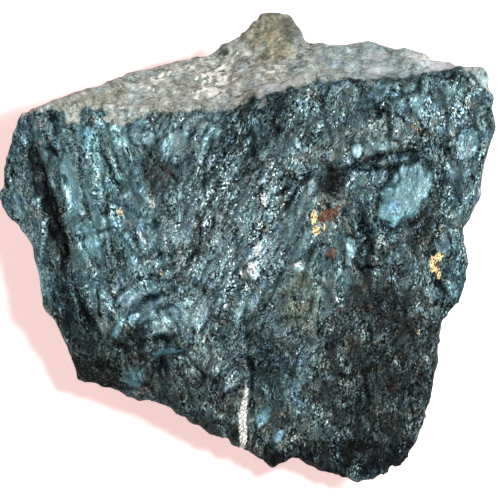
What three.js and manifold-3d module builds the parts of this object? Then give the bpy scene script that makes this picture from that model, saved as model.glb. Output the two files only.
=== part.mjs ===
// A hand-sized lump of manganese ore: one piece of broken rock lying on its back, with its broad
// fracture face up.  Millimetres, +Z up, resting on a small flat at z = 0 under its middle.
//
// The lump is carved as a stonebreaker would see it: a blank of the lump's outline is split along
// flat cleavage faces, chips are struck out of its fracture face, and it is roughened all over.

import * as THREE from "three";
import Module from "manifold-3d";
import { ConvexGeometry } from "three/addons/geometries/ConvexGeometry.js";
import { ImprovedNoise } from "three/addons/math/ImprovedNoise.js";
import { TessellateModifier } from "three/addons/modifiers/TessellateModifier.js";
import { mergeVertices } from "three/addons/utils/BufferGeometryUtils.js";

const wasm = await Module();
wasm.setup();

// ---- Driving dimensions, in millimetres and degrees ----

const FACE_HEIGHT = 38; // middle of the fracture face above the surface that the lump lies on
const FACE_LEAN = 18; // the fracture face leans this far from level, its lower edge towards -Y
const BLANK_ABOVE = 6; // the blank stands this far proud of the fracture face
const BLANK_BELOW = 52; // and reaches this far behind it, past the resting flat
const SHOULDER_SLOPE = 2.5; // fall of the weathered shoulder behind the ridge, per mm along the face
const BURIED = 3; // spare thickness below the resting flat, cut away last
const FACET_EDGE = 4.5; // longest triangle edge of the rough surface
const FACET_ROUNDS = 12; // rounds of halving that bring every edge under that
const WELD_GAP = 1e-4; // corners nearer than this are one corner
const RUMPLE_SIZE = 17; // width of the broad rumples
const PUCKER_SIZE = 6; // and of the small ones on top of them
const PUCKER_SHARE = 0.5; // height of the small ones compared with the broad ones
const RUMPLE_SHIFTS = [10, 20, 30]; // starting places that keep the three directions' noise apart
const OUTWARD_RUMPLE = 1.5; // how far the surface is rumpled along the line that the face looks
const SIDEWAYS_RUMPLE = 0.6; // and across it, near the fracture face
const DEEP_RUMPLE = 1.7; // and across it, well behind the fracture face
const WAIST = 0.05; // the sides draw in by this share well behind the fracture face
const WAIST_STARTS = 8; // depth below the rim where the sides begin to draw in
const WAIST_ENDS = 20; // and where they have done so
const RIM_FALLS_FROM = 26; // past this height up the face the rim is the shoulder's far edge
const PIT_REACH = 1.6; // a chip's cutting pyramid, compared with the pit that it leaves
const CUTTER = 400; // side of the block that splits off everything past a cleavage face

// Face frame: x across the fracture face, y up it, z out of it, origin in its middle.

// The lump's outline, clockwise from the upper left corner.
const OUTLINE = [
  [-42.9, 25.5], [-37.5, 27.2], [-23.0, 32.4], [-14.2, 34.8], [-8.0, 36.0], [-5.4, 38.0],
  [-2.2, 39.3], [0.4, 41.6], [1.7, 43.9], [3.9, 44.9], [6.9, 44.5], [8.7, 41.2],
  [10.6, 38.8], [16.8, 37.8], [22.9, 38.4], [30.7, 35.7], [37.3, 34.6], [43.4, 33.3],
  [45.7, 29.0], [46.2, 22.6], [44.0, 13.5], [39.6, 3.3], [41.2, -3.0], [39.1, -10.4],
  [35.9, -14.9], [35.6, -22.0], [32.9, -33.1], [29.8, -39.8], [25.9, -42.8], [20.5, -44.1],
  [13.4, -41.4], [8.1, -39.1], [4.2, -40.9], [-1.0, -36.4], [-7.3, -35.1], [-11.9, -31.1],
  [-21.8, -27.9], [-31.5, -24.9], [-33.8, -18.9], [-38.3, -11.1], [-40.7, 0.6], [-47.4, 10.0],
  [-45.8, 16.0],
];

// The ridge where the weathered shoulder meets the fracture face, from left to right.
const RIDGE = [
  [-60, 24.5], [-43, 24.9], [-30, 25.7], [-16, 25.1], [-4, 25.6], [1.5, 27.9], [14, 31.3], [30, 31.5],
  [41, 33.2], [60, 34.5],
];

// Flat faces that bevel the fracture face.  Each goes through a point and looks along
// [compass, rise]: the compass runs from +X towards +Y, and a rise of 90 looks straight out.
const FACE_BEVELS = [
  { name: "upper left", through: [-12.0, 12.0, 0], looks: [160, 83] },
  { name: "lower left rim", through: [-17.0, -27.5, 0], looks: [238, 40] },
  { name: "lower right", through: [10.0, -12.0, 0], looks: [-52, 79] },
  { name: "right margin", through: [35.5, 10.0, 0], looks: [-8, 66] },
];

// Chips struck out of the fracture face: each pit's corners on the face, and its deepest point.
const CHIPS = [
  {
    name: "smooth shell, right",
    corners: [[13.5, 14.5], [32.4, 19.5], [37.0, 15.5], [34.0, 3.5], [24.5, 1.5], [18.0, 8.0]],
    deepest: [24.0, 14.5, -3.2],
  },
  {
    name: "big shell, lower left",
    corners: [[-25.5, -13], [-21.5, -7.5], [-15, -5.8], [-6, -8], [-3, -15], [-10, -21], [-21, -21]],
    deepest: [-20, -12, -3.0],
  },
  {
    name: "pit inside the big shell",
    corners: [[-20.5, -17], [-14.5, -15], [-11.5, -20], [-17.5, -23]],
    deepest: [-17.0, -18.0, -4.6],
  },
  {
    name: "streaked hollow under the ridge",
    corners: [[-1, 28], [8, 30], [5, 18], [-3, 7], [-9, 9], [-6, 19]],
    deepest: [0, 20, -2.4],
  },
  {
    name: "right margin",
    corners: [[37, 24], [36, 10], [30, -4], [40, -12], [48, 2], [52, 16]],
    deepest: [37.5, 8, -3.4],
  },
  {
    name: "upright slot",
    corners: [[20.5, 5], [24, 4], [23.5, -6], [20, -5]],
    deepest: [21.5, -1, -3.0],
  },
  {
    name: "splinter, upper left",
    corners: [[-34, 21], [-29.5, 20], [-26, 7], [-28.5, 5]],
    deepest: [-31, 14, -2.0],
  },
  {
    name: "flake, middle bottom",
    corners: [[-6, -20], [7, -19], [11, -28], [3, -36], [-6, -31]],
    deepest: [-3, -24, -2.6],
  },
];

// The step down to the left flank: a steep wall and the ledge at its foot.
const FLANK_WALL = { through: [-36.3, 0, -1], looks: [190, 22] };
const FLANK_LEDGE = { through: [-38.5, 0, -4.2], looks: [182, 64] };

// The small peak on the shoulder's far edge: a nub and the lower step on its left, each given by
// the corners of its crest, of its foot on the shoulder, and of its root inside the lump.
const STUMPS = [
  {
    name: "nub",
    crest: [[0.2, 41.4, -25], [1.7, 43.9, -27], [3.9, 44.9, -28], [6.9, 44.5, -28], [8.9, 41.2, -25]],
    foot: [[-1.2, 36.4, -24.3], [0.5, 34.6, -18.6], [5.6, 34.4, -14.4], [11.5, 36.6, -15.4]],
    root: [[-3, 34, -42], [13, 36, -42], [5, 43, -42]],
  },
  {
    name: "lower step",
    crest: [[-8.2, 36.0, -27], [-5.4, 38.0, -28], [-2.2, 39.3, -28], [0.6, 40.2, -26]],
    foot: [[-6.8, 34.2, -22.8], [-1.5, 33.6, -17.6], [3.5, 33.4, -13.4]],
    root: [[-13, 33, -42], [3, 39, -42], [3, 33, -42]],
  },
];

// Standing frame: x to the right, y away, z up, origin under the middle of the fracture face.

// Flat faces of the lump's back and sides, in the same form as the bevels.
const BACK_FACES = [
  { name: "near underside", through: [0, -37, 13], looks: [-90, -40] },
  { name: "near left underside", through: [-27, -18, 12], looks: [-132, -38] },
  { name: "left underside", through: [-35, 8, 13], looks: [176, -36] },
  { name: "left side", through: [-47.2, 10, 30], looks: [184, -14] },
  { name: "far left underside", through: [-32, 34, 16], looks: [135, -34] },
  { name: "far underside", through: [0, 45.5, 17], looks: [92, -30] },
  { name: "far right underside", through: [34, 34, 18], looks: [48, -36] },
  { name: "right underside", through: [36, 8, 15], looks: [-4, -38] },
  { name: "near right underside", through: [27, -26, 10], looks: [-48, -46] },
  { name: "right side, upper", through: [46.6, 16, 38], looks: [4, -13] },
  { name: "right side, lower", through: [40.6, -10, 25], looks: [-16, -20] },
  { name: "near side, right", through: [22, -42, 20], looks: [-80, -32] },
  { name: "near side, left", through: [-14, -32, 22], looks: [-118, -27] },
];

// ---- Solids ----

const UP = new THREE.Vector3(0, 0, 1);

function solidFrom(geometry) {
  const bare = geometry.clone();
  bare.deleteAttribute("normal");
  bare.deleteAttribute("uv");
  const merged = mergeVertices(bare, WELD_GAP);
  return new wasm.Manifold(
    new wasm.Mesh({
      numProp: 3,
      vertProperties: new Float32Array(merged.attributes.position.array),
      triVerts: new Uint32Array(merged.index.array),
    }),
  );
}

function geometryFrom(solid) {
  const mesh = solid.getMesh();
  const geometry = new THREE.BufferGeometry();
  geometry.setAttribute("position", new THREE.BufferAttribute(mesh.vertProperties, 3));
  geometry.setIndex(new THREE.BufferAttribute(mesh.triVerts, 1));
  return geometry;
}

// The unit vector that looks along [compass, rise].
function direction([compass, rise]) {
  const phi = THREE.MathUtils.degToRad(90 - rise);
  const theta = THREE.MathUtils.degToRad(compass);
  return new THREE.Vector3(
    Math.sin(phi) * Math.cos(theta),
    Math.sin(phi) * Math.sin(theta),
    Math.cos(phi),
  );
}

// A block that holds everything past a flat face.
function past({ through, looks }) {
  const outward = direction(looks);
  const block = new THREE.BoxGeometry(CUTTER, CUTTER, CUTTER);
  block.translate(0, 0, CUTTER / 2);
  block.applyQuaternion(new THREE.Quaternion().setFromUnitVectors(UP, outward));
  block.translate(...through);
  return solidFrom(block);
}

// The outline, drawn straight back from the fracture face.
function blank() {
  const outline = new THREE.Shape(OUTLINE.map(([x, y]) => new THREE.Vector2(x, y)));
  const block = new THREE.ExtrudeGeometry(outline, {
    depth: BLANK_ABOVE + BLANK_BELOW,
    bevelEnabled: false,
  });
  block.translate(0, 0, -BLANK_BELOW);
  return solidFrom(block);
}

// Everything above the weathered shoulder, which falls away behind the ridge.
function aboveShoulder() {
  const far = CUTTER / 2;
  const above = new THREE.Shape(RIDGE.map(([x, y]) => new THREE.Vector2(x, y)));
  above.lineTo(RIDGE.at(-1)[0], far);
  above.lineTo(RIDGE[0][0], far);
  above.closePath();
  const block = new THREE.ExtrudeGeometry(above, { depth: far, bevelEnabled: false });
  block.translate(0, 0, -far / 2);
  const fall = new THREE.Matrix4().makeShear(0, 0, 0, 0, 0, -1 / SHOULDER_SLOPE);
  block.applyMatrix4(fall);
  return solidFrom(block);
}

// A rough stump that stands on the shoulder and is rooted in the lump.
function stump({ crest, foot, root }) {
  const corners = [...crest, ...foot, ...root].map((corner) => new THREE.Vector3(...corner));
  return solidFrom(new ConvexGeometry(corners));
}

// A pit with flat walls: a pyramid on its point, its base held clear of the face.
function chip({ corners, deepest }) {
  const tip = new THREE.Vector3(...deepest);
  const mouth = corners.map(([x, y]) => {
    const fromTip = new THREE.Vector3(x, y, 0).sub(tip);
    return fromTip.multiplyScalar(PIT_REACH).add(tip);
  });
  return solidFrom(new ConvexGeometry([tip, ...mouth]));
}

// ---- The rough surface ----

const noise = new ImprovedNoise();

// Smooth noise between about -1 and 1 that varies over the given size in millimetres.
function rumple(point, size, shift) {
  return noise.noise(point.x / size + shift, point.y / size + shift, point.z / size + shift);
}

// Cut the surface into small triangles and rumple it.  It moves most along the line that the
// fracture face looks, and little sideways, so the outline stays as it was drawn.
function roughen(solid) {
  const fine = new TessellateModifier(FACET_EDGE, FACET_ROUNDS).modify(geometryFrom(solid).toNonIndexed());
  const points = fine.attributes.position;
  const point = new THREE.Vector3();
  for (let i = 0; i < points.count; i += 1) {
    point.fromBufferAttribute(points, i);
    const [sideways, upwards, outwards] = RUMPLE_SHIFTS.map(
      (shift) => rumple(point, RUMPLE_SIZE, shift) + PUCKER_SHARE * rumple(point, PUCKER_SIZE, shift),
    );
    const rim = -SHOULDER_SLOPE * Math.max(0, point.y - RIM_FALLS_FROM);
    const deep = THREE.MathUtils.smoothstep(rim - point.z, WAIST_STARTS, WAIST_ENDS);
    const across = THREE.MathUtils.lerp(SIDEWAYS_RUMPLE, DEEP_RUMPLE, deep);
    const drawnIn = 1 - WAIST * deep;
    points.setXYZ(
      i,
      point.x * drawnIn + across * sideways,
      point.y * drawnIn + across * upwards,
      point.z + OUTWARD_RUMPLE * outwards,
    );
  }
  return solidFrom(fine);
}

// ---- The lump ----

// Turn a solid from the face frame to the standing frame, or back again.
function stand(solid) {
  const geometry = geometryFrom(solid);
  geometry.rotateX(THREE.MathUtils.degToRad(FACE_LEAN));
  geometry.translate(0, 0, FACE_HEIGHT);
  return solidFrom(geometry);
}

function layBack(solid) {
  const geometry = geometryFrom(solid);
  geometry.translate(0, 0, -FACE_HEIGHT);
  geometry.rotateX(THREE.MathUtils.degToRad(-FACE_LEAN));
  return solidFrom(geometry);
}

function lump() {
  let rock = blank().subtract(past({ through: [0, 0, 0], looks: [0, 90] }));
  rock = rock.subtract(aboveShoulder());
  for (const part of STUMPS) {
    rock = rock.add(stump(part));
  }
  for (const bevel of FACE_BEVELS) {
    rock = rock.subtract(past(bevel));
  }
  rock = rock.subtract(past(FLANK_WALL).intersect(past(FLANK_LEDGE)));
  for (const pit of CHIPS) {
    rock = rock.subtract(chip(pit));
  }
  rock = stand(rock);
  for (const face of BACK_FACES) {
    rock = rock.subtract(past(face));
  }
  rock = rock.subtract(past({ through: [0, 0, -BURIED], looks: [0, -90] }));
  rock = stand(roughen(layBack(rock)));
  rock = rock.subtract(past({ through: [0, 0, 0], looks: [0, -90] }));

  const resting = geometryFrom(rock);
  resting.computeBoundingBox();
  const middle = resting.boundingBox.getCenter(new THREE.Vector3());
  resting.translate(-middle.x, -middle.y, 0);
  resting.computeVertexNormals();
  return resting;
}

const oreLump = new THREE.Mesh(
  lump(),
  new THREE.MeshStandardMaterial({ color: 0x2b3d44, roughness: 0.42, metalness: 0.6, flatShading: true }),
);
oreLump.name = "ore_lump";

const model = new THREE.Group();
model.add(oreLump);

export default model;
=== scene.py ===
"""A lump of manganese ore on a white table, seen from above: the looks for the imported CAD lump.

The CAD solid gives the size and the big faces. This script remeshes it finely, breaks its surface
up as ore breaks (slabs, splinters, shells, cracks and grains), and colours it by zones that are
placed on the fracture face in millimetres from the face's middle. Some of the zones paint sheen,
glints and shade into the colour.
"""

import itertools
import math

import bmesh
import bpy
import numpy as np
from mathutils import Matrix, Vector


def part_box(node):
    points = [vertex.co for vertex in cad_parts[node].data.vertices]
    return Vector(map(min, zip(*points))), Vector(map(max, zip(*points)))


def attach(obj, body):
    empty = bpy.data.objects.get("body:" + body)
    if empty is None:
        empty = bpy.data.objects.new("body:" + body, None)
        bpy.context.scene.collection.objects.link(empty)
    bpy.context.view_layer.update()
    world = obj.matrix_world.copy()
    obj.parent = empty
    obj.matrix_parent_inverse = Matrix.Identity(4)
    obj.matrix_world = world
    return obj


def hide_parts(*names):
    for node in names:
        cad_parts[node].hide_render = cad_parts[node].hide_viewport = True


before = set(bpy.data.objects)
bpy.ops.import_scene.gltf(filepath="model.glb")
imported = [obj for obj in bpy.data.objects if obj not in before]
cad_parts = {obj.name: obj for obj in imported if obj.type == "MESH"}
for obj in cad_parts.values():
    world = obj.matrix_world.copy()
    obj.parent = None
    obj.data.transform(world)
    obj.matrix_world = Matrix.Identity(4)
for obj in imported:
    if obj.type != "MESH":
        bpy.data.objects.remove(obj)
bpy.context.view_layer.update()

# ---- Driving sizes ----

LUMP = "ore_lump"
low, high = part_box(LUMP)
size = high - low
LUMP_WIDTH = 94.0  # the width, in millimetres, that the places and sizes below are drawn for
MM = size.x / LUMP_WIDTH  # one millimetre of the lump as drawn, in metres

CAMERA_RISE = math.radians(72)  # the camera looks down on the lump at this angle
CAMERA_LENS = 1000.0  # mm, long enough to keep the outline true
CAMERA_SENSOR = 36.0  # mm
PICTURE_WIDTH = 93.8  # what the picture takes in at the fracture face, in lump millimetres
PICTURE_SHIFT = (0.0, -0.5)  # how far right and up of the face's middle the picture looks, same unit

# The fracture face's middle, as shares of the lump's box.
FACE_MIDDLE = Vector((low.x + 0.5048 * size.x, low.y + 0.4434 * size.y, low.z + 0.785 * size.z))

COARSE_STEP = 0.74  # lump millimetres between mesh points on the back and sides
FINE_CUTS = 1  # cuts of each edge on the fracture face and the shoulder, for a finer mesh there
FINE_FACING = 0.22  # faces that look this much out of the fracture face are fine

# The face's own directions: to the right, up the picture, and out towards the camera.
RIGHT = Vector((1, 0, 0))
UP = Vector((0, math.sin(CAMERA_RISE), math.cos(CAMERA_RISE)))
OUT = RIGHT.cross(UP)

# From the row frame to face millimetres: right, up and out from the face's middle.
TO_FACE = Matrix.Scale(1 / MM, 4) @ Matrix((RIGHT, UP, OUT)).to_4x4() @ Matrix.Translation(-FACE_MIDDLE)
MIDDLE_HEIGHT = (FACE_MIDDLE.z - low.z) / MM


# ---- Noise ----

# The seeds are whole numbers picked freely: each gives a pattern of its own.


def lattice_hash(cells, seed):
    """Three repeatable numbers from 0 to 1 for each whole-numbered cell, as three rows."""
    x, y, z = cells.T.astype(np.uint32)
    mixed = x * np.uint32(73856093) ^ y * np.uint32(19349663) ^ z * np.uint32(83492791)
    mixed ^= np.uint32(seed * 2654435761 % 2**32)
    mixed = (mixed ^ (mixed >> np.uint32(15))) * np.uint32(2246822519)
    mixed = (mixed ^ (mixed >> np.uint32(13))) * np.uint32(3266489917)
    mixed ^= mixed >> np.uint32(16)
    return np.array([mixed >> np.uint32(shift) & np.uint32(1023) for shift in (0, 10, 20)], np.float32) / 1023


def smooth_noise(places, seed):
    """Gradient noise, between about -1 and 1, that varies over a length of 1."""
    corner = np.floor(places).astype(np.int32)
    inside = (places - corner).T
    fade = inside**3 * (inside * (inside * 6 - 15) + 10)
    total = 0
    for step in itertools.product((0, 1), repeat=3):
        slope = 2 * lattice_hash(corner + np.int32(step), seed) - 1
        away = inside - np.float32(step)[:, None]
        weights = [part if one else 1 - part for part, one in zip(fade, step)]
        total = total + weights[0] * weights[1] * weights[2] * (slope * away).sum(axis=0)
    return 1.5 * total


def layered(places, seed, layers=4):
    """Smooth noise with finer and fainter layers on top."""
    return sum(smooth_noise(places * 2.0**k, seed + k) * 0.5**k for k in range(layers))


def creased(places, seed, layers=3):
    """Noise with sharp crests, from 0 in the troughs to about 1 on the crests."""
    return sum((1 - 2 * abs(smooth_noise(places * 2.0**k, seed + k))) * 0.5**k for k in range(layers)) / 1.75


def plates(places, seed):
    """Flat plates of about size 1, each tilted its own way: (height, nearness to the plate's edge)."""
    corner = np.floor(places).astype(np.int32)
    inside = (places - corner).T
    nearest = np.full(len(places), np.inf, np.float32)
    second = nearest.copy()
    height = np.zeros(len(places), np.float32)
    for step in itertools.product((-1, 0, 1), repeat=3):
        cell = corner + np.int32(step)
        away = inside - np.float32(step)[:, None] - lattice_hash(cell, seed)
        distance = (away**2).sum(axis=0)
        tilt = 2 * lattice_hash(cell, seed + 1) - 1
        here = distance < nearest
        second = np.where(here, nearest, np.minimum(second, distance))
        nearest = np.where(here, distance, nearest)
        height = np.where(here, (tilt * away).sum(axis=0) + 0.25 * tilt[0], height)
    return height, 1 - np.clip((np.sqrt(second) - np.sqrt(nearest)) * 3, 0, 1)


def smoothstep(value, start, end):
    share = np.clip((value - start) / (end - start), 0, 1)
    return share * share * (3 - 2 * share)


# ---- Where things are on the fracture face, in millimetres from its middle ----

# The ridge between the fracture face and the weathered shoulder, from left to right.
RIDGE = [
    (-60, 23.0), (-43, 24.2), (-38, 25.4), (-30, 25.7), (-16, 25.1), (-4, 25.6), (1.5, 27.9),
    (14, 31.3), (30, 31.5), (39.5, 33.6), (41.8, 32.2), (43.4, 29.4), (60, 24),
]

# The tables of patches below share one form: the patch's middle, its half width and half length,
# its lean right of upright in degrees, and its strength.

# Slivers of crust that hang over the ridge onto the face.
SLIVERS = [
    ((-33.3, 23.6), (1.5, 2.6), 12, 1.2),
    ((-23.6, 24.4), (1.5, 4.0), 80, 1.2),
    ((2.4, 26.6), (0.7, 1.2), 30, 0.9),
    ((-37.5, 22.9), (0.7, 2.0), 85, 0.7),
]

# Cracks and grooves, cut into the relief and also painted dark as shade in them: a path, then width and
# depth.
CRACKS = [
    ([(-41.4, 22.5), (-40.5, 17.0), (-39.3, 12.5), (-37.4, 7.5), (-35.3, 2.0), (-34.4, -6.0)], 2.2, 1.6),
    ([(-34.1, -2.5), (-32.6, -10.1), (-29.4, -15.8), (-25.7, -20.2)], 1.4, 0.9),
    ([(-37.5, 24.5), (-37.0, 22.6), (-36.4, 20.7)], 0.9, 0.7),
    ([(-28.6, 21.3), (-27.7, 17.5), (-26.2, 13.5), (-24.4, 10.8)], 1.1, 1.0),
    ([(-21.6, 21.1), (-19.5, 18.0), (-17.0, 15.6), (-13.6, 12.4)], 0.9, 0.7),
    ([(-4.7, 26.4), (-6.6, 22.2), (-8.8, 14.6), (-8.1, 8.9), (-7.1, 6.1)], 1.0, 0.8),
    ([(-8.1, 8.9), (-6.9, 4.2), (-11.3, -2.5), (-15.5, -7.2)], 1.1, 0.8),
    ([(-0.9, 24.1), (0.1, 18.4), (2.4, 13.7)], 0.8, 0.6),
    ([(4.8, 26.0), (2.4, 20.3), (-1.8, 12.7), (-4.7, 6.1)], 0.8, 0.6),
    ([(12.8, 16.2), (8.6, 10.8), (5.5, 6.0)], 0.9, 0.6),
    ([(13.0, 15.6), (18.1, 14.6), (22.1, 16.5), (29.7, 17.5), (34.3, 19.4)], 1.5, 0.9),
    ([(36.6, 20.3), (35.6, 15.0), (34.6, 10.6), (32.6, 6.6), (29.4, 4.0)], 1.4, 0.9),
    ([(19.8, 9.6), (20.6, 6.6), (21.2, 3.0), (22.6, -1.0)], 1.1, 0.9),
    ([(22.5, 7.6), (22.0, 3.8), (22.6, 0.8), (26.0, -2.7)], 0.8, 0.7),
    ([(18.0, -2.6), (21.5, -3.7), (25.5, -3.7)], 0.9, 0.6),
    ([(12.8, 2.3), (10.4, -3.4), (9.8, -8.0)], 0.8, 0.6),
    ([(24.0, 4.4), (26.0, 3.4), (28.6, 2.8)], 0.7, 0.6),
    ([(9.0, -21.7), (16.8, -17.5)], 0.6, 0.4),
    ([(34.3, 1.3), (35.4, -6.3), (37.5, -10.1), (36.2, -13.9)], 1.1, 0.8),
    ([(-1.0, -12.0), (0.1, -25.3), (1.0, -36.7)], 1.1, 0.6),
    ([(-19.7, -16.9), (-16.0, -17.4), (-13.2, -16.4)], 1.2, 0.8),
    ([(-18.6, -21.4), (-16.1, -22.4), (-15.4, -24.6)], 1.1, 0.8),
    ([(22.0, 0.4), (24.2, -2.0), (26.8, -4.6)], 0.9, 0.9),
    ([(-22.6, -13.8), (-21.4, -11.3), (-18.8, -9.6), (-15.2, -8.2), (-12.8, -6.4)], 1.3, 0.6),
    ([(-24.6, -18.0), (-21.6, -15.2), (-19.4, -12.6)], 1.0, 0.6),
    ([(-13.2, -18.6), (-8.5, -24.3), (-12.3, -29.1)], 0.8, 0.6),
    ([(-28.4, -15.8), (-22.7, -19.6), (-16.1, -23.4)], 1.0, 0.7),
]

# The shaded rim along the lower outline: its path and width.
SHADED_RIM = [
    (-34.5, -20), (-31, -25.5), (-22, -28.6), (-12.5, -32.5), (-7.5, -35.8), (-1, -38.5),
    (4, -41.5), (8, -40.5), (14, -42.8), (21, -45), (27, -43),
]
SHADED_RIM_WIDTH = 5.0

# Thin raised edges that catch the light, and that also get a painted highlight: a path, then width and
# height.
RIBS = [
    ([(-23.3, -12.6), (-22.6, -10.2), (-20.7, -8.5), (-18.4, -7.6), (-15.6, -7.2)], 1.1, 0.5),
    ([(-21.7, -13.6), (-19.3, -11.7), (-16.4, -9.8), (-13.6, -9.3)], 1.2, 0.5),
    ([(-25.7, -12.1), (-24.5, -9.3), (-22.1, -7.2), (-19.0, -6.2)], 1.0, 0.5),
    ([(-24.8, 8.0), (-24.0, 9.7), (-22.6, 10.4), (-21.0, 9.6)], 1.3, 0.5),
    ([(-34.6, 12.0), (-33.8, 6.1)], 0.9, 0.4),
    ([(-40.3, 10.6), (-39.6, 8.0)], 0.6, 0.4),
    ([(-9.4, 5.4), (-8.6, 9.0), (-6.2, 13.0), (-3.7, 16.6)], 0.5, 0.4),
    ([(-4.0, 8.4), (-1.6, 12.4), (0.6, 15.6)], 0.5, 0.3),
    ([(19.7, 14.0), (18.6, 12.2), (17.6, 10.4)], 1.0, 0.4),
    ([(17.8, 1.8), (18.7, -1.4)], 1.0, 0.4),
]

# Shell-shaped steps: the shell's middle, the radii of its steps, from and to which angle, step height.
SHELLS = [
    ((-13.0, -17.5), (15.6, 12.0, 8.8), (75, 165), 0.35),
    ((-26.0, 4.0), (8.0, 5.5), (20, 120), 0.3),
]

# Cleavage patches painted lighter: painted sheen where their facets catch the light.
PAINTED_SHEEN_PATCHES = [
    ((-42.8, 8.0), (1.8, 7.0), -12, 0.35),
    ((-40.1, 9.3), (0.4, 2.2), -14, 1.0),
    ((-33.6, 13.0), (2.6, 9.0), -14, 0.5),
    ((-38.2, -7.0), (1.4, 4.5), -20, 0.35),
    ((-24.6, 20.1), (2.2, 2.8), 0, 0.7),
    ((-12.8, 20.9), (4.0, 8.2), 80, 0.65),
    ((-28.0, 2.0), (2.0, 7.0), -17, 0.45),
    ((-30.3, 1.8), (0.9, 2.2), -17, 0.6),
    ((-13.0, -12.4), (3.0, 7.4), 80, 0.7),
    ((-27.0, -11.0), (1.6, 4.5), -17, 0.45),
    ((30.2, 11.0), (3.6, 6.0), 34, 0.75),
    ((18.9, -0.6), (1.0, 2.6), 10, 0.9),
    ((42.6, 10.6), (0.8, 1.0), 0, 0.9),
    ((41.1, 28.6), (0.5, 0.7), 0, 1.2),
    ((25.0, 19.2), (1.6, 1.0), 0, 0.7),
    ((23.8, 28.7), (2.2, 2.9), 30, 0.35),
    ((29.5, 27.9), (1.1, 2.2), 70, 0.35),
    ((20.2, 18.2), (1.3, 1.4), 10, 1.2),
    ((40.4, 18.2), (2.0, 2.4), 20, 0.55),
    ((38.1, 14.8), (0.9, 1.5), 10, 0.5),
    ((40.0, 8.0), (1.2, 3.2), 16, 0.5),
    ((17.4, -7.2), (1.5, 3.8), 6, 0.55),
    ((9.2, -25.5), (1.8, 2.6), 25, 0.5),
    ((2.2, -31.7), (1.5, 1.9), 25, 0.45),
    ((5.2, -35.5), (1.0, 1.5), 10, 0.5),
    ((21.9, -33.4), (0.7, 0.8), 0, 0.6),
    ((-5.6, 9.9), (1.2, 6.8), 27, 0.7),
    ((3.1, 9.3), (0.9, 1.1), 20, 1.0),
    ((1.6, -1.7), (1.7, 3.6), 27, 0.9),
    ((9.2, -3.4), (0.7, 0.9), 20, 1.0),
    ((-26.0, 8.0), (9.0, 15.0), -17, 0.3),
    ((-12.0, -2.0), (9.0, 10.0), 20, 0.2),
]

# Cleavage flakes with crisp edges and a smoother face, which is also painted lighter and bluer as sheen.
LEAVES = [
    ((29.0, 10.0), (4.0, 6.9), 34, 1.0),
    ((32.2, 11.4), (1.5, 3.6), 24, 1.2),
    ((20.2, 18.2), (1.2, 1.4), 10, 1.2),
    ((41.0, 19.3), (2.3, 3.4), 10, 0.6),
    ((38.6, -6.2), (2.0, 4.8), 6, 0.5),
    ((18.9, -0.6), (1.0, 2.6), 10, 0.8),
    ((24.0, 28.4), (1.6, 4.0), 50, 0.6),
    ((31.0, 27.6), (1.5, 4.6), 64, 0.3),
    ((9.2, -25.6), (1.2, 2.5), 30, 0.7),
    ((2.4, -31.9), (1.1, 2.2), 38, 0.8),
    ((5.4, -35.4), (0.8, 1.5), 30, 0.8),
    ((2.6, 8.9), (0.9, 1.2), 0, 1.0),
    ((1.4, -0.2), (1.1, 1.5), 20, 0.9),
    ((-7.6, 21.8), (2.4, 2.0), 20, 0.5),
    ((-14.2, 19.4), (1.9, 4.6), 30, 0.4),
    ((-20.2, 21.7), (2.4, 3.0), 0, 0.6),
    ((-31.1, 21.7), (1.9, 3.4), -10, 0.5),
    ((-33.6, 12.2), (1.9, 6.0), -12, 0.6),
    ((-29.7, 1.3), (1.5, 4.2), -15, 0.6),
    ((-38.3, -6.3), (1.6, 3.8), -16, 0.5),
    ((-20.5, -10.4), (3.2, 6.0), 52, 0.5),
    ((-24.6, -14.8), (0.9, 2.8), 27, 0.8),
    ((-9.6, -12.6), (1.6, 3.4), 12, 0.5),
    ((-12.2, -10.6), (1.0, 3.4), 60, 0.5),
    ((-14.7, -19.6), (0.6, 2.6), 84, 1.1),
    ((-16.0, -19.8), (0.8, 3.4), 80, 0.9),
    ((-22.1, -24.6), (2.1, 2.0), 0, 0.6),
]

# Where the face has the most painted glints, and the glossiest grains.
SPARKLES = [
    ((-9.0, 5.0), (5.0, 14.0), 27, 0.8),
    ((-17.0, 1.0), (8.0, 6.0), 0, 0.7),
    ((-12.0, -12.0), (9.0, 5.0), 0, 0.6),
    ((2.0, 8.0), (5.0, 16.0), 27, 0.8),
    ((2.0, -3.0), (4.0, 7.0), 10, 0.8),
    ((8.0, 24.0), (6.0, 6.0), 0, 0.6),
    ((20.0, 25.0), (12.0, 3.4), 0, 0.5),
    ((37.0, 24.0), (5.0, 8.0), 0, 0.5),
    ((-24.0, -8.0), (8.0, 9.0), 0, 0.5),
    ((15.0, -22.0), (16.0, 14.0), 0, 0.35),
]
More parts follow.
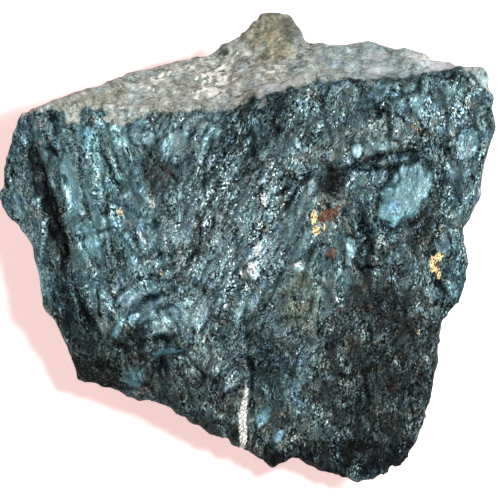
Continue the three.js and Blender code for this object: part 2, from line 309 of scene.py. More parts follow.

# Dark zones: painted shade in the crevices and on facets turned from the light, and partly darker ore.
DARK_AND_SHADE_ZONES = [
    ((-40.6, 15.6), (0.5, 3.8), -14, 1.1),
    ((-38.0, 8.8), (1.7, 5.6), -26, 1.25),
    ((-36.2, 2.6), (1.5, 4.6), -20, 1.25),
    ((-34.9, -3.2), (0.8, 3.2), -6, 1.1),
    ((-32.4, -14.0), (3.4, 9.0), -25, 0.75),
    ((-20.0, -25.0), (5.0, 15.0), -60, 0.4),
    ((-28.0, -24.0), (3.6, 6.5), -58, 1.0),
    ((-18.5, 16.0), (2.6, 3.0), 0, 0.4),
    ((-17.0, 11.0), (2.4, 3.0), 0, 0.4),
    ((-1.0, 26.0), (1.8, 3.4), 30, 0.8),
    ((-8.0, 5.0), (1.6, 9.0), 25, 0.4),
    ((4.5, 26.5), (3.2, 5.4), 70, 0.5),
    ((15.4, 12.2), (2.6, 3.0), 0, 1.0),
    ((35.2, 9.4), (1.3, 6.4), 14, 0.5),
    ((21.0, 4.6), (0.9, 4.4), -12, 0.5),
    ((32.8, 3.0), (3.2, 5.2), 10, 0.6),
    ((-17.3, -17.1), (0.9, 2.4), 85, 0.7),
    ((-16.8, -22.0), (1.6, 1.9), 0, 0.8),
    ((-21.6, -17.0), (2.2, 3.4), 20, 0.7),
    ((-12.0, -27.0), (4.0, 11.0), -60, 0.66),
    ((3.0, -24.0), (2.4, 9.0), 14, 0.5),
    ((16.0, -40.0), (4.0, 20.0), 84, 1.0),
    ((-4.0, -36.0), (3.4, 14.0), -66, 0.6),
    ((24.0, -22.0), (12.0, 18.0), 0, 0.68),
    ((6.0, -20.0), (6.0, 14.0), 0, 0.3),
    ((-2.0, 20.0), (4.0, 11.0), 32, 0.4),
    ((15.0, 25.0), (4.0, 13.0), 72, 0.25),
    ((38.4, -7.0), (3.0, 6.0), 0, 0.5),
    ((7.8, 40.4), (1.7, 3.4), -28, 0.65),
    ((-4.5, 36.7), (0.5, 0.9), 80, 1.0),
    ((-1.0, 40.0), (0.8, 2.0), 35, 0.4),
    ((40.5, 30.5), (1.2, 2.6), -20, 0.6),
]

# Stains and mineral specks, by name; some white specks are painted glints.
STAINS = {
    "brown": [
        ((24.0, -22.0), (14.0, 20.0), 0, 0.8),
        ((-2.0, -33.0), (7.0, 22.0), -66, 0.8),
        ((-30.0, -20.0), (3.0, 14.0), -40, 0.6),
        ((-20.0, -20.0), (9.0, 14.0), -60, 0.9),
        ((-37.2, 6.0), (2.4, 13.0), -15, 0.7),
        ((-17.6, 14.0), (3.0, 6.0), 10, 0.6),
        ((-9.5, 2.0), (2.6, 11.0), 30, 0.7),
        ((32.8, 3.0), (4.0, 6.0), 10, 0.8),
        ((22.0, 20.0), (3.0, 12.0), 76, 0.7),
        ((15.0, 8.0), (3.0, 8.0), 12, 0.9),
        ((8.0, -12.0), (4.0, 9.0), 4, 0.6),
    ],
    "rust": [
        ((15.8, 6.4), (1.0, 2.0), 30, 0.85),
        ((13.8, 5.6), (1.1, 1.8), 30, 0.9),
        ((15.3, -1.2), (1.5, 1.3), 0, 0.8),
        ((26.2, 16.6), (1.4, 0.6), 0, 0.45),
        ((37.1, 23.8), (0.7, 1.2), 30, 0.5),
        ((24.0, 23.4), (2.4, 1.4), 0, 0.35),
        ((18.0, -11.0), (1.0, 1.4), 0, 0.4),
        ((-19.4, 7.6), (0.5, 1.0), 0, 0.5),
        ((35.2, -3.1), (0.7, 1.2), 0, 0.9),
    ],
    "gold": [
        ((35.5, -1.7), (0.9, 1.1), 20, 1.35),
        ((34.4, -3.3), (0.6, 1.7), 0, 1.3),
        ((35.4, -4.7), (0.5, 1.4), -10, 1.15),
        ((12.0, 5.6), (0.6, 1.4), 6, 1.25),
        ((12.4, 3.2), (0.8, 1.0), 6, 1.15),
        ((13.8, 3.8), (0.5, 0.9), 0, 1.0),
        ((31.0, 22.6), (1.0, 1.0), 0, 0.6),
        ((23.4, 24.6), (3.0, 1.4), 0, 0.38),
        ((15.3, 22.2), (1.4, 1.5), 0, 0.45),
        ((-16.4, -5.0), (0.5, 0.6), 0, 0.9),
        ((-24.4, 6.8), (0.5, 1.0), -10, 0.9),
        ((39.2, 28.6), (0.5, 0.6), 0, 0.7),
        ((22.5, -11.0), (0.5, 0.6), 0, 0.6),
        ((31.6, -15.8), (0.5, 0.8), 0, 0.6),
        ((4.2, 39.4), (0.9, 2.0), 0, 0.55),
        ((6.0, 36.3), (0.6, 2.4), 80, 0.5),
    ],
    "olive": [
        ((10.0, -9.8), (4.0, 6.6), 8, 0.8),
        ((-31.0, -24.0), (3.0, 9.0), -45, 0.4),
        ((-12.0, -34.0), (2.6, 10.0), -68, 0.6),
        ((4.0, 40.0), (4.2, 5.4), 0, 1.0),
        ((-27.0, 28.0), (2.0, 6.0), 80, 0.3),
    ],
    # White: the first three are pale chips, the rest painted glints in the middle of the face.
    "white": [
        ((-18.4, 8.2), (0.9, 1.5), 10, 0.9),
        ((-20.4, 2.0), (0.5, 1.8), -36, 0.9),
        ((-15.7, 0.6), (0.4, 1.9), -8, 0.7),
        ((-6.8, 11.6), (0.9, 4.6), 26, 0.4),
        ((2.6, 8.9), (0.8, 1.2), 0, 1.15),
        ((1.5, -0.4), (1.0, 1.6), 10, 1.0),
        ((0.2, -4.0), (1.1, 1.4), 20, 1.0),
        ((9.0, -3.2), (0.8, 0.7), 20, 0.9),
    ],
    "quartz": [
        ((-6.4, 31.2), (2.6, 4.6), 60, 1.0),
        ((4.8, 33.1), (1.2, 2.2), 80, 0.9),
        ((-17.0, 31.6), (0.9, 2.6), 80, 0.9),
        ((-12.6, 33.4), (0.8, 2.8), 70, 0.7),
        ((-9.4, 28.8), (0.9, 1.6), 30, 0.8),
        ((-20.0, 29.6), (0.8, 2.0), 80, 0.7),
        ((33.0, 35.4), (0.7, 3.4), 84, 0.8),
        ((10.0, 40.5), (0.6, 1.2), 0, 0.4),
    ],
    "slate": [
        ((27.0, 35.5), (4.6, 15.0), 94, 1.0),
        ((12.0, 34.0), (2.4, 5.0), 80, 0.5),
        ((43.6, 31.7), (1.4, 2.0), -10, 1.0),
    ],
    "pale": [
        ((36.0, 34.4), (1.1, 6.2), 96, 0.9),
        ((23.6, 33.0), (1.1, 2.6), 85, 0.7),
        ((24.4, 36.0), (0.9, 1.6), 85, 0.5),
        ((7.0, 30.6), (0.9, 7.0), 72, 0.5),
    ],
}

# Where the lump swells past its plain faces, or is worn back from them: the strength is the push
# outwards in millimetres.
SWELLS = [
    ((45.5, 21.0), (4.0, 10.0), 8, -0.75),
    ((41.2, -2.0), (3.0, 4.0), 0, -0.75),
    ((32.0, -36.0), (3.0, 6.0), 25, -0.8),
    ((20.5, -44.0), (4.0, 2.0), 0, -0.35),
    ((4.0, -41.4), (2.5, 2.0), 0, -0.3),
    ((-43.0, 25.5), (2.0, 2.0), 0, -0.4),
    ((43.6, 33.0), (2.4, 2.0), 0, 0.25),
    ((30.7, 35.7), (3.0, 2.0), 0, 0.9),
    ((-2.0, -36.8), (1.8, 2.0), 0, 1.1),
    ((-12.0, -31.5), (3.0, 2.0), 0, 0.6),
    ((-3.0, 39.5), (3.5, 3.0), 30, 0.65),
    ((-0.4, 41.0), (1.4, 1.8), 30, 0.8),
    ((4.0, 44.8), (2.2, 1.8), 0, 0.5),
]

# The face breaks along fibres that lean differently in its left, middle and right regions: their
# lean right of upright, and the length and width of the slabs there.
REGION_FIBRES = ((-17, 9, 1.7), (27, 7, 1.5), (6, 4.5, 2.2))

SHOULDER_FALL = 2.5  # how far the shoulder falls back for each millimetre above the ridge
RAGGED_UP_TO = 1.8  # patches wider than twice this keep straighter edges
LEAF_EDGE = {"start": 0.85, "end": 1.0}  # a leaf's crisp edge, as shares of its half size
LEAF_SHADE = {"start": 1.05, "end": 1.3}  # the shade round it, in the same shares
SHELL_FADE = 12  # degrees over which a shell's steps fade out at their ends
EDGE_ROUNDS = 12  # rounds of smoothing that tell the lump's edges from its flat stretches
RESTING_FADE = 0.8  # the resting flat stays flat, and the relief is full this far above it

# The white vein down the lower face: its path, and its half width at the top, midway and at the bottom.
VEIN = [(-0.7, -25.5), (-0.8, -28.0), (-1.5, -31.5), (-1.4, -34.0), (-0.9, -38.5)]
VEIN_HALVES = (0.25, 0.95, 0.6)


def along_path(places, path):
    """Distance of each place from a path on the face, and how far along it, from 0 to 1."""
    points = np.array(path, np.float32)
    lengths = np.linalg.norm(np.diff(points, axis=0), axis=1)
    starts = np.concatenate([[0], np.cumsum(lengths)])
    nearest = np.full(len(places), np.inf, np.float32)
    share = np.zeros(len(places), np.float32)
    for start, end, length, before in zip(points[:-1], points[1:], lengths, starts):
        run = (end - start) / length
        u, v = (places[:, :2] - start).T
        here = np.clip(u * run[0] + v * run[1], 0, length)
        distance = np.hypot(u - here * run[0], v - here * run[1])
        closer = distance < nearest
        nearest = np.where(closer, distance, nearest)
        share = np.where(closer, (before + here) / starts[-1], share)
    return nearest, share


def turned(places, degrees, along, across):
    """Places scaled so that noise on them runs in streaks, leaning this far right of upright."""
    lean = math.radians(degrees)
    u, v, w = places.T
    to_right = u * math.cos(lean) - v * math.sin(lean)
    to_top = u * math.sin(lean) + v * math.cos(lean)
    return np.stack([to_right / across, to_top / along, w / across], axis=1)


# ---- The lump's mesh ----


def mesh_of(obj):
    """The object's mesh with its modifiers applied, as a new mesh."""
    return bpy.data.meshes.new_from_object(obj.evaluated_get(bpy.context.evaluated_depsgraph_get()))


def vertex_array(mesh):
    values = np.zeros(len(mesh.vertices) * 3, np.float32)
    mesh.vertices.foreach_get("co", values)
    return values.reshape(-1, 3)


def normal_array(mesh):
    values = np.zeros(len(mesh.vertices) * 3, np.float32)
    mesh.vertex_normals.foreach_get("vector", values)
    return values.reshape(-1, 3)


def smoothed(mesh, values, rounds):
    """Each vertex's values moved halfway to the mean of its neighbours', round after round."""
    edges = np.zeros(len(mesh.edges) * 2, np.int32)
    mesh.edges.foreach_get("vertices", edges)
    ends = np.concatenate([edges.reshape(-1, 2), edges.reshape(-1, 2)[:, ::-1]])
    count = np.bincount(ends[:, 0], minlength=len(values))
    for _ in range(rounds):
        sums = [np.bincount(ends[:, 0], column[ends[:, 1]], len(values)) for column in values.T]
        values = 0.5 * values + 0.5 * np.stack(sums, axis=1) / count[:, None]
    return values


def smooth_mesh(mesh, rounds):
    """Smooth the mesh, and push it back out by as much as that drew it in."""
    even = smoothed(mesh, vertex_array(mesh), rounds)
    mesh.vertices.foreach_set("co", (2 * even - smoothed(mesh, even, rounds)).ravel())
    mesh.update()


def fine_lump():
    """The CAD lump as an even mesh in face millimetres, finer where the camera sees it."""
    rock = bpy.data.objects.new("rock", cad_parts[LUMP].data.copy())
    rock.data.transform(TO_FACE)
    bpy.context.scene.collection.objects.link(rock)
    even = rock.modifiers.new("even", "REMESH")
    even.mode = "VOXEL"
    even.voxel_size = COARSE_STEP
    rock.data = mesh_of(rock)
    rock.modifiers.clear()
    smooth_mesh(rock.data, 1)

    fine = normal_array(rock.data)[:, 2] > FINE_FACING
    work = bmesh.new()
    work.from_mesh(rock.data)
    edges = [edge for edge in work.edges if all(fine[end.index] for end in edge.verts)]
    bmesh.ops.subdivide_edges(work, edges=edges, cuts=FINE_CUTS, use_grid_fill=True)
    bmesh.ops.triangulate(work, faces=work.faces[:])
    work.to_mesh(rock.data)
    work.free()
    smooth_mesh(rock.data, 2)
    return rock


class Surface:
    """The fine mesh's points in face millimetres, and the noise that its markings share."""

    def __init__(self, mesh):
        self.mesh = mesh
        self.places = vertex_array(mesh)
        self.wander = layered(self.places / 2.6, 3, 3)
        self.patchy = 0.7 + 0.5 * smooth_noise(self.places / 3, 4)
        self.wobble = 0.35 * layered(self.places / 2.5, 71, 3)
        u, v, w = self.places.T
        self.above_ridge = v - np.interp(u, *np.array(RIDGE, float).T)
        drop = SHOULDER_FALL * np.maximum(0, self.above_ridge) + w
        self.on_show = smoothstep(drop, -16, -10)  # 0 on the sides and back, which the markings spare
        self.fine = smoothstep(normal_array(mesh)[:, 2], FINE_FACING, 0.5)

    def outward(self, rounds):
        """The directions that the surface faces, evened out over its small bumps."""
        normals = smoothed(self.mesh, normal_array(self.mesh), rounds)
        return normals / np.linalg.norm(normals, axis=1)[:, None]

    def spot(self, middle, halves, lean, strength, start=0.65, end=1.25):
        """A ragged eight-sided patch: its strength in the middle, fading to 0 at its edge."""
        turn = math.radians(lean)
        u, v = self.places[:, 0] - middle[0], self.places[:, 1] - middle[1]
        across = abs(u * math.cos(turn) - v * math.sin(turn)) / halves[0]
        along = abs(u * math.sin(turn) + v * math.cos(turn)) / halves[1]
        reach = np.maximum(np.maximum(across, along), 0.72 * (across + along))
        ragged = self.wobble * min(1, RAGGED_UP_TO / halves[0])
        return strength * (1 - smoothstep(reach + ragged, start, end))

    def strongest(self, spots, **limits):
        """The strongest of these patches at each place, on the sides that show."""
        return self.on_show * np.max([self.spot(*one, **limits) for one in spots], axis=0)

    def stroke(self, path, width):
        """A ragged line along a path, 1 in its middle and 0 outside it, that thins out at its ends."""
        distance, share = along_path(self.places, path)
        fade = np.sin(np.pi * np.clip(share, 0.03, 0.97)) ** 0.5 * self.patchy
        ragged = np.abs(distance + 0.5 * width * self.wander)
        return self.on_show * np.clip(fade, 0, 1) * (1 - smoothstep(ragged, 0, 0.65 * width))

    def set_mask(self, name, values):
        """Store a marking on the mesh, for the material to read by its name."""
        attribute = self.mesh.attributes.new(name, "FLOAT", "POINT")
        attribute.data.foreach_set("value", values.astype(np.float32))


def regions(places):
    """The share of each fibre region at each place, with the lean, length and width of its slabs."""
    u, v, _ = places.T
    left = 1 - smoothstep(u + 0.3 * v, -22, -10)
    middle = (1 - left) * (1 - smoothstep(u - 0.4 * v, 4, 14))
    shares = (left, middle, 1 - left - middle)
    return tuple((share, *fibres) for share, fibres in zip(shares, REGION_FIBRES))


def shell_steps(places):
    """Curved steps, one inside the other, where flakes sprang off."""
    relief = 0
    bend = 0.5 * smooth_noise(places / 4, 8)
    for (middle_u, middle_v), radii, (start, end), step in SHELLS:
        across, up = places[:, 0] - middle_u, places[:, 1] - middle_v
        radius = np.hypot(across, up) + bend
        angle = np.degrees(np.arctan2(up, across))
        begun = smoothstep(angle, start - SHELL_FADE, start + SHELL_FADE)
        within = begun * (1 - smoothstep(angle, end - SHELL_FADE, end + SHELL_FADE))
        for ring in radii:
            rise = smoothstep(radius, ring - 0.5, ring + 0.15) * (1 - smoothstep(radius, ring, ring + 3.5))
            relief = relief + step * within * rise
    return relief


def fracture_relief(surface, cracks, ribs, leaves):
    """The broken face: (height, painted shade in the thin gaps between some of its slabs)."""
    places = surface.places
    relief = 0.5 * layered(places / 10, 5, 3)
    gap_shade = 0
    for share, lean, along, across in regions(places):
        big, _ = plates(turned(places, lean, 10, 5.5), 29)
        slabs, rim = plates(turned(places, lean, along, across), 31)
        splinters, _ = plates(turned(places, lean, along * 0.4, across * 0.45), 77)
        fibres = creased(turned(places, lean, along * 0.8, across * 0.5), 57)
        small = 0.18 * splinters + 0.12 * fibres
        relief += share * (0.7 * big + 0.42 * slabs - 0.06 * rim + surface.fine * small)
        gap_shade = gap_shade + share * smoothstep(rim, 0.55, 0.95)
    grains, _ = plates(places / np.float32([0.8, 1.1, 0.8]), 91)
    relief += 0.11 * surface.fine * grains + shell_steps(places)
    relief = relief * (1 - 0.75 * leaves) + 0.2 * leaves
    relief -= sum(depth * line for line, (_, _, depth) in zip(cracks, CRACKS))
    relief += sum(rise * line for line, (_, _, rise) in zip(ribs, RIBS))
    return relief, gap_shade * smoothstep(layered(places / 4, 41, 3), 0.0, 0.5)


def weathered_relief(surface):
    """The height of the crust's bumps and grains."""
    places = surface.places
    grains, _ = plates(places / 1.1, 91)
    bumps = 0.6 * layered(places / 5, 21, 4) + 0.3 * (creased(places / 2.5, 23) - 0.5)
    return bumps + 0.18 * surface.fine * grains


def weathered_share(surface):
    """1 on the crust, which starts above the ridge and runs down the back, and 0 on the broken face."""
    places = surface.places
    above = surface.above_ridge + 0.7 * layered(places / 2.4, 61, 3) + 2.5 * surface.strongest(SLIVERS)
    return smoothstep(above, 0.1, 0.7) * (1 - smoothstep(-places[:, 2], 30, 38))


def chipping(surface):
    """How deep the lump's sharp edges are chipped away."""
    even = smoothed(surface.mesh, normal_array(surface.mesh), EDGE_ROUNDS)
    sharpness = 1 - np.linalg.norm(even, axis=1)
    return 4 * sharpness * smoothstep(layered(surface.places / 2.2, 67, 3), -0.2, 0.6)


def push_out(surface, relief):
    """Move the points out by the relief and the swells, and sharpen the lump's own bumps and edges."""
    mesh, places = surface.mesh, surface.places
    outward = surface.outward(4)
    crisper = ((places - smoothed(mesh, places, EDGE_ROUNDS)) * outward).sum(axis=1)
    swelling = sum(surface.spot(*swell) for swell in SWELLS)
    moves = smoothed(mesh, relief[:, None], 1) + (crisper + swelling)[:, None]
    heights = places @ np.float32([RIGHT.z, UP.z, OUT.z]) + MIDDLE_HEIGHT
    moves *= smoothstep(heights, 0, RESTING_FADE)[:, None]
    mesh.vertices.foreach_set("co", (places + outward * moves).ravel())


def darkness(surface, cracks, gap_shade, leaves):
    """Darker ore and painted shade: the dark zones, the cracks, the gaps, the lower rim and round the leaves.
    """
    crack_shade = 1.3 * np.max(cracks, axis=0)
    rim = surface.stroke(SHADED_RIM, SHADED_RIM_WIDTH)
    leaf_shade = 0.7 * (surface.strongest(LEAVES, **LEAF_SHADE) - leaves)
    return np.max([surface.strongest(DARK_AND_SHADE_ZONES), crack_shade, gap_shade, rim, leaf_shade], axis=0)


def vein_share(surface):
    """1 on the white vein and 0 beside it."""
    distance, share = along_path(surface.places, VEIN)
    half = np.interp(share, (0, 0.5, 1), VEIN_HALVES)
    vein = 1 - smoothstep(distance + 0.6 * surface.wobble, 0.5 * half, 1.3 * half)
    return vein * surface.on_show


def break_up(rock):
    """Push the mesh in and out along its own directions, and mark what lies where on it."""
    surface = Surface(rock.data)
    cracks = [surface.stroke(path, width) for path, width, _ in CRACKS]
    ribs = [surface.stroke(path, width) for path, width, _ in RIBS]
    leaves = surface.strongest(LEAVES, **LEAF_EDGE)
    weathered = weathered_share(surface)
    broken, gap_shade = fracture_relief(surface, cracks, ribs, leaves)
    push_out(surface, np.where(weathered > 0.5, weathered_relief(surface), broken) - chipping(surface))

    surface.set_mask("weathered", weathered)
    # Painted sheen: the cleavage patches and the ribs, painted lighter as highlights.
    surface.set_mask("painted_sheen", np.max([surface.strongest(PAINTED_SHEEN_PATCHES), 2.2 * np.max(ribs, axis=0)], axis=0))
    surface.set_mask("leaf", leaves)
    surface.set_mask("sparkle", surface.strongest(SPARKLES))
    # Painted shade, with some darker ore: crevices, cracks, gaps, the lower rim and round the leaves.
    surface.set_mask("dark", darkness(surface, cracks, gap_shade, leaves))
    for stain, patches in STAINS.items():
        surface.set_mask(stain, surface.strongest(patches))
    surface.set_mask("vein", vein_share(surface))
    for name, (share, *_) in zip(("left", "middle"), regions(surface.places)):
        surface.set_mask(name, smoothstep(share, 0.35, 0.65))
    face_mm = rock.data.attributes.new("face_mm", "FLOAT_VECTOR", "POINT")
    face_mm.data.foreach_set("vector", surface.places.ravel())


def fit_in_row(rock):
    """Bring the mesh back to the row frame, and keep it inside the CAD lump's box."""
    rock.data.transform(TO_FACE.inverted())
    points = np.clip(vertex_array(rock.data), np.array(low), np.array(high))
    rock.data.vertices.foreach_set("co", points.ravel())
    rock.data.update()


# ---- Materials ----

MASK_NAMES = ("weathered", "painted_sheen", "leaf", "sparkle", "dark", "left", "middle", "vein", *STAINS)

# Colours of the broken face and of the crust, from their darkest grains to their lightest.
FRESH_TONES = (
    (0.0, (0.006, 0.008, 0.009)),
    (0.25, (0.030, 0.052, 0.056)),
    (0.5, (0.080, 0.154, 0.164)),
    (0.75, (0.21, 0.345, 0.36)),
    (1.0, (0.46, 0.57, 0.59)),
)
CRUST_TONES = (
    (0.28, (0.088, 0.098, 0.080)),
    (0.45, (0.315, 0.345, 0.300)),
    (0.58, (0.475, 0.515, 0.455)),
    (0.70, (0.84, 0.89, 0.84)),
)
# Painted glints: chosen grains are mixed towards this near-white colour.
PAINTED_GLINT_COLOUR = (0.68, 0.78, 0.80, 1)  # grains that catch the light

# The stains on the broken face: how ragged they are, then their darkest and lightest colours.
STAIN_LOOKS = {
    "rust": (1.8, (0.035, 0.022, 0.018, 1), (0.20, 0.090, 0.052, 1)),
    "gold": (1.9, (0.09, 0.055, 0.02, 1), (0.98, 0.82, 0.45, 1)),
    # White: pale chips, and painted glints in the middle of the face.
    "white": (2.6, (0.14, 0.18, 0.19, 1), (0.84, 0.89, 0.88, 1)),
    "vein": (2.6, (0.30, 0.29, 0.26, 1), (0.92, 0.92, 0.88, 1)),
}


class Graph:
    """A material's node tree, with short ways to add nodes and join them."""

    def __init__(self, name):
        self.material = bpy.data.materials.new(name)
        self.material.use_nodes = True
        self.tree = self.material.node_tree
        self.shader = self.tree.nodes["Principled BSDF"]

    def put(self, socket, value):
        """Join a node's output to this socket, or set a plain value on it."""
        if isinstance(value, bpy.types.NodeSocket):
            self.tree.links.new(value, socket)
        else:
            socket.default_value = value

    def add(self, kind, inputs, **settings):
        node = self.tree.nodes.new("ShaderNode" + kind)
        for name, value in settings.items():
            setattr(node, name, value)
        for name, value in inputs.items():
            self.put(node.inputs[name], value)
        return node

    def attribute(self, name, output="Fac"):
        return self.add("Attribute", {}, attribute_name=name).outputs[output]

    def math(self, operation, first, second=0.0, clamp=False):
        node = self.add("Math", {0: first, 1: second}, operation=operation, use_clamp=clamp)
        return node.outputs[0]

    def ramp(self, value, start, end, low=0.0, high=1.0):
        """A smooth rise from low to high as the value goes from start to end."""
        inputs = {"Value": value, "From Min": start, "From Max": end, "To Min": low, "To Max": high}
        return self.add("MapRange", inputs, interpolation_type="SMOOTHSTEP").outputs["Result"]

    def mix(self, share, first, second, blend="MIX"):
        inputs = {"Factor": share, 6: first, 7: second}
        return self.add("Mix", inputs, data_type="RGBA", blend_type=blend).outputs[2]

    def tinted(self, share, colour, tint):
        """The colour multiplied by the tint, as far as the share says."""
        return self.mix(share, colour, self.mix(1.0, colour, (*tint, 1), "MULTIPLY"))

    def blend(self, share, first, second):
        return self.add("Mix", {"Factor": share, 2: first, 3: second}, data_type="FLOAT").outputs[0]

    def turned(self, vector, lean, along, across):
        """The vector turned about the way out of the face, and scaled to streaks of this size."""
        turn = self.add("Mapping", {"Vector": vector, "Rotation": (0, 0, math.radians(lean))})
        scale = {"Vector": turn.outputs[0], "Scale": (1 / across, 1 / along, 1 / across)}
        return self.add("Mapping", scale).outputs[0]

    def noise(self, vector, scale=1.0, detail=3.0, roughness=0.55):
        inputs = {"Vector": vector, "Scale": scale, "Detail": detail, "Roughness": roughness}
        return self.add("TexNoise", inputs).outputs["Fac"]

    def facets(self, vector):
        """Flat cells of size 1, each tilted its own way: (their height, a random value for each)."""
        cells = self.add("TexVoronoi", {"Vector": vector, "Scale": 1.0})
        away = self.add("VectorMath", {0: vector, 1: cells.outputs["Position"]}, operation="SUBTRACT")
        colour = cells.outputs["Color"]
        tilt = self.add("VectorMath", {0: colour, 1: (0.5, 0.5, 0.5)}, operation="SUBTRACT")
        height = self.add("VectorMath", {0: away.outputs[0], 1: tilt.outputs[0]}, operation="DOT_PRODUCT")
        return height.outputs["Value"], self.add("SeparateColor", {"Color": colour}).outputs["Red"]

    def choose(self, share, first, second):
        """The second vector where the share is over a half, else the first."""
        over = self.math("GREATER_THAN", share, 0.5)
        inputs = {"Factor": over, 4: first, 5: second}
        return self.add("Mix", inputs, data_type="VECTOR").outputs[1]

    def centred(self, value):
        return self.math("SUBTRACT", value, 0.5)

    def total(self, start, *terms):
        """The start plus each value times its weight."""
        for value, weight in terms:
            node = self.add("Math", {0: value, 1: weight, 2: start}, operation="MULTIPLY_ADD")
            start = node.outputs[0]
        return start

    def colours(self, value, stops):
        """A colour ramp through these stops."""
        ramp = self.add("ValToRGB", {"Fac": value})
        elements = ramp.color_ramp.elements
        while len(elements) < len(stops):
            elements.new(1.0)
        for element, (position, colour) in zip(elements, stops):
            element.position = position
            element.color = (*colour, 1)
        return ramp.outputs["Color"]


def ore_texture(graph, face, mask):
    """The patterns that the colour, the gloss and the bumps share, as a dictionary of values."""
    swirl = graph.add("TexNoise", {"Vector": face, "Scale": 0.16, "Detail": 2.0}).outputs["Color"]
    bent = graph.add("VectorMath", {0: swirl, 1: (3, 3, 3), 2: face}, operation="MULTIPLY_ADD").outputs[0]
    fibres = [graph.turned(bent, lean, 1, 1) for lean, _, _ in REGION_FIBRES]
    across = graph.choose(mask["middle"], fibres[2], fibres[1])
    along = graph.choose(mask["left"], across, fibres[0])
    streak = graph.noise(graph.turned(along, 0, 1.7, 0.34), detail=4.0, roughness=0.6)
    _, plate = graph.facets(graph.turned(along, 0, 5.0, 2.0))
    splinter_height, splinter = graph.facets(graph.turned(along, 0, 2.0, 0.6))
    grain_height, grain = graph.facets(graph.turned(along, 0, 0.7, 0.3))
    spark_height, spark = graph.facets(graph.turned(along, 0, 0.32, 0.19))
    height = graph.total(
        0.0,
        (splinter_height, 0.13),
        (grain_height, 0.14),
        (spark_height, 0.09),
        (streak, 0.04),
    )
    return {
        "streak": streak,
        "plate": plate,
        "splinter": splinter,
        "grain": grain,
        "spark": spark,
        "blotch": graph.noise(face, 0.17, 4.0),
        "vigour": graph.ramp(graph.noise(graph.turned(along, 0, 5.0, 2.2), 1.0, 2.0), 0.36, 0.66, 0.6, 1.6),
        "hue": graph.noise(face, 0.4, 3.0),
        "speck": graph.noise(face, 2.2, 3.0, 0.65),
        "height": height,
    }


def fresh_colour(graph, mask, texture):
    """The glinting blue-black of the broken face, with painted sheen, shade and glints: (its colour, how
    strongly each grain flashes).
    """
    pattern = graph.total(
        0.0,
        (graph.centred(texture["streak"]), 0.28),
        (graph.centred(texture["blotch"]), 0.31),
        (graph.centred(texture["plate"]), 0.08),
        (graph.centred(texture["splinter"]), 0.24),
        (graph.centred(texture["grain"]), 0.32),
        (graph.centred(texture["spark"]), 0.59),
    )
    calm = graph.total(1.0, (mask["leaf"], -0.35), (mask["olive"], -0.5), (mask["brown"], -0.2))
    contrast = graph.math("MULTIPLY", calm, texture["vigour"])
    # The tone gets painted sheen on the cleavage patches and leaves, and painted shade with darker ore where
    # dark.
    tone = graph.total(
        0.46,
        (graph.math("MULTIPLY", pattern, contrast), 1.0),
        (mask["painted_sheen"], 0.26),
        (mask["leaf"], 0.20),
        (mask["dark"], -0.46),
    )
    fresh = graph.colours(tone, FRESH_TONES)
    cool = graph.math("MAXIMUM", mask["leaf"], mask["painted_sheen"])
    warm = graph.math("SUBTRACT", graph.ramp(texture["hue"], 0.48, 0.32), cool, clamp=True)
    brown = graph.math("SUBTRACT", mask["brown"], cool, clamp=True)
    for share, tint in (
        (graph.ramp(texture["hue"], 0.5, 0.66), (0.92, 0.95, 1.14)),
        (warm, (1.30, 0.96, 0.88)),
        (mask["left"], (1.04, 1.12, 1.13)),
        (mask["middle"], (1.10, 1.05, 1.04)),
        (mask["leaf"], (0.87, 1.02, 1.11)),
        (brown, (1.24, 0.95, 0.86)),
        (mask["olive"], (1.12, 0.96, 0.76)),
    ):
        fresh = graph.tinted(share, fresh, tint)
    # Painted glints: the grains that flash are mixed towards a near-white colour.
    flash = graph.total(
        0.0,
        (texture["spark"], 1.0),
        (graph.centred(texture["streak"]), 0.25),
        (mask["sparkle"], 0.12),
        (mask["painted_sheen"], 0.06),
        (mask["dark"], -0.12),
    )
    flash = graph.ramp(flash, 0.97, 1.05)
    return graph.mix(graph.math("MULTIPLY", flash, 0.8), fresh, PAINTED_GLINT_COLOUR), flash


def stained(graph, mask, texture, colour):
    """The stains, mineral specks and white painted glints over a colour: (the new colour, where they lie)."""
    lies = 0.0
    for stain, (raggedness, dark, light) in STAIN_LOOKS.items():
        ragged = graph.total(0.0, (mask[stain], 1.0), (graph.centred(texture["speck"]), raggedness))
        share = graph.ramp(ragged, 0.62, 0.80)
        grainy = graph.mix(graph.ramp(texture["spark"], 0.15, 0.75), dark, light)
        colour = graph.mix(share, colour, grainy)
        lies = graph.math("MAXIMUM", lies, share)
    return colour, lies


def crust_colour(graph, face, mask, texture):
    """The grey weathered shoulder, with its crystals, slate-coloured zones and stains."""
    slope = graph.add("Mapping", {"Vector": face, "Scale": (1.0, 1.0, 0.4)}).outputs[0]
    mottle = graph.total(
        -0.08,
        (graph.noise(slope, 0.55, 6.0, 0.75), 1.15),
        (graph.centred(texture["grain"]), 0.12),
        (graph.centred(texture["spark"]), 0.20),
    )
    crust = graph.colours(mottle, CRUST_TONES)
    crust = graph.tinted(graph.ramp(graph.noise(slope, 0.3, 3.0), 0.5, 0.62), crust, (0.90, 0.99, 1.10))
    crust = graph.tinted(mask["slate"], crust, (0.78, 0.93, 1.04))
    crust = graph.mix(graph.math("MULTIPLY", mask["pale"], 0.8), crust, (0.60, 0.62, 0.63, 1))
    crust = graph.tinted(mask["olive"], crust, (0.73, 0.67, 0.54))
    crust = graph.mix(graph.math("MULTIPLY", mask["gold"], 0.6), crust, (0.38, 0.28, 0.11, 1))
    # The dark zones on the crust: painted shade in its pits, and darker ore.
    crust = graph.mix(graph.math("MULTIPLY", mask["dark"], 0.8), crust, (0.04, 0.045, 0.045, 1))
    _, crystal = graph.facets(graph.turned(slope, 60, 0.9, 0.5))
    shown = graph.total(0.0, (crystal, 1.0), (mask["quartz"], 0.5), (graph.centred(texture["speck"]), 0.6))
    cream = graph.mix(texture["grain"], (0.95, 1.0, 0.98, 1), (0.80, 0.78, 0.68, 1))
    return graph.mix(graph.ramp(shown, 0.98, 1.08), crust, cream)


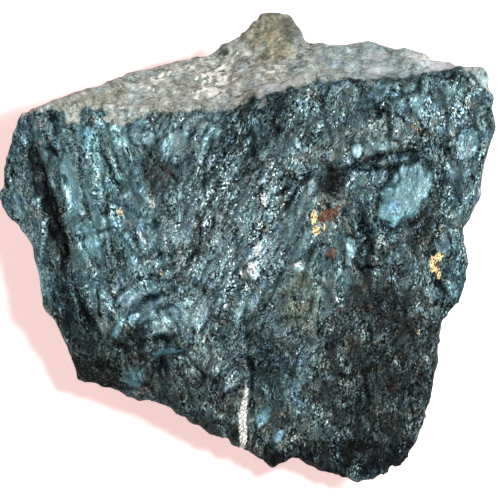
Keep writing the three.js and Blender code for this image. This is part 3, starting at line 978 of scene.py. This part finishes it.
def ore():
    graph = Graph("ore")
    face = graph.attribute("face_mm", "Vector")
    mask = {name: graph.attribute(name) for name in MASK_NAMES}
    texture = ore_texture(graph, face, mask)
    fresh, flash = fresh_colour(graph, mask, texture)
    fresh, stains = stained(graph, mask, texture, fresh)
    crust = crust_colour(graph, face, mask, texture)
    graph.put(graph.shader.inputs["Base Color"], graph.mix(mask["weathered"], fresh, crust))

    dull = graph.math("MAXIMUM", mask["weathered"], graph.math("MULTIPLY", stains, 0.7))
    graph.put(graph.shader.inputs["Metallic"], graph.blend(dull, 0.85, 0.0))
    gloss = graph.ramp(graph.noise(face, 0.6, 3.0), 0.3, 0.7, 0.42, 0.60)
    gloss = graph.total(gloss, (flash, -0.10))
    graph.put(graph.shader.inputs["Roughness"], graph.blend(dull, gloss, 0.85))
    graph.put(graph.shader.inputs["Specular Tint"], (0.2, 0.2, 0.2, 1))
    bump = graph.add("Bump", {"Height": texture["height"], "Strength": 0.9, "Distance": MM})
    graph.put(graph.shader.inputs["Normal"], bump.outputs["Normal"])
    return graph.material


# ---- Stage ----

FLOOR_WIDTH = 40  # lump widths
FLOOR_WHITE = (0.92, 0.92, 0.92, 1)
FLOOR_GLOW = (1.0, 0.66, 0.63, 1)  # keeps the table white, and fills the shadow with pale pink
FLOOR_GLOW_STRENGTH = 0.76


def add_floor():
    bpy.ops.mesh.primitive_plane_add(size=FLOOR_WIDTH * size.x, location=(0, 0, 0))
    floor = bpy.context.object
    floor.name = "floor"
    graph = Graph("white_table")
    graph.put(graph.shader.inputs["Base Color"], FLOOR_WHITE)
    graph.put(graph.shader.inputs["Roughness"], 0.9)
    graph.put(graph.shader.inputs["Emission Color"], FLOOR_GLOW)
    graph.put(graph.shader.inputs["Emission Strength"], FLOOR_GLOW_STRENGTH)
    floor.data.materials.append(graph.material)


def add_camera():
    camera_data = bpy.data.cameras.new("camera")
    camera_data.lens = CAMERA_LENS
    camera_data.sensor_width = CAMERA_SENSOR
    camera = bpy.data.objects.new("camera", camera_data)
    distance = PICTURE_WIDTH * MM * CAMERA_LENS / CAMERA_SENSOR
    turn = Matrix((RIGHT, UP, OUT)).transposed().to_4x4()
    aim = FACE_MIDDLE + (RIGHT * PICTURE_SHIFT[0] + UP * PICTURE_SHIFT[1]) * MM
    camera.matrix_world = Matrix.Translation(aim + OUT * distance) @ turn
    camera_data.clip_end = 100 * size.x
    bpy.context.scene.collection.objects.link(camera)
    bpy.context.scene.camera = camera


def add_light(name, sideways, upwards, distance, width, watts):
    """A square soft light beside the camera's line of sight, this many lump widths away and wide."""
    light_data = bpy.data.lights.new(name, "AREA")
    light_data.size = width * size.x
    light_data.energy = watts
    light = bpy.data.objects.new(name, light_data)
    way = (OUT + RIGHT * sideways + UP * upwards).normalized()
    light.location = FACE_MIDDLE + way * distance * size.x
    light.rotation_euler = way.to_track_quat("Z", "Y").to_euler()
    bpy.context.scene.collection.objects.link(light)


def add_world(strength, colour):
    world = bpy.data.worlds.new("studio")
    world.use_nodes = True
    background = world.node_tree.nodes["Background"]
    background.inputs["Color"].default_value = (*colour, 1)
    background.inputs["Strength"].default_value = strength
    bpy.context.scene.world = world


rock = fine_lump()
break_up(rock)
fit_in_row(rock)
rock.data.materials.clear()
rock.data.materials.append(ore())
rock.data.polygons.foreach_set("use_smooth", [True] * len(rock.data.polygons))
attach(rock, "root")
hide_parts(LUMP)

add_floor()
add_camera()
add_light("key", sideways=0.16, upwards=0.055, distance=6, width=0.4, watts=2.65)
add_light("glance", sideways=0.8, upwards=0.32, distance=6, width=0.6, watts=2.4)
add_world(strength=0.25, colour=(1.0, 0.90, 0.88))
bpy.context.scene.view_settings.view_transform = "Standard"
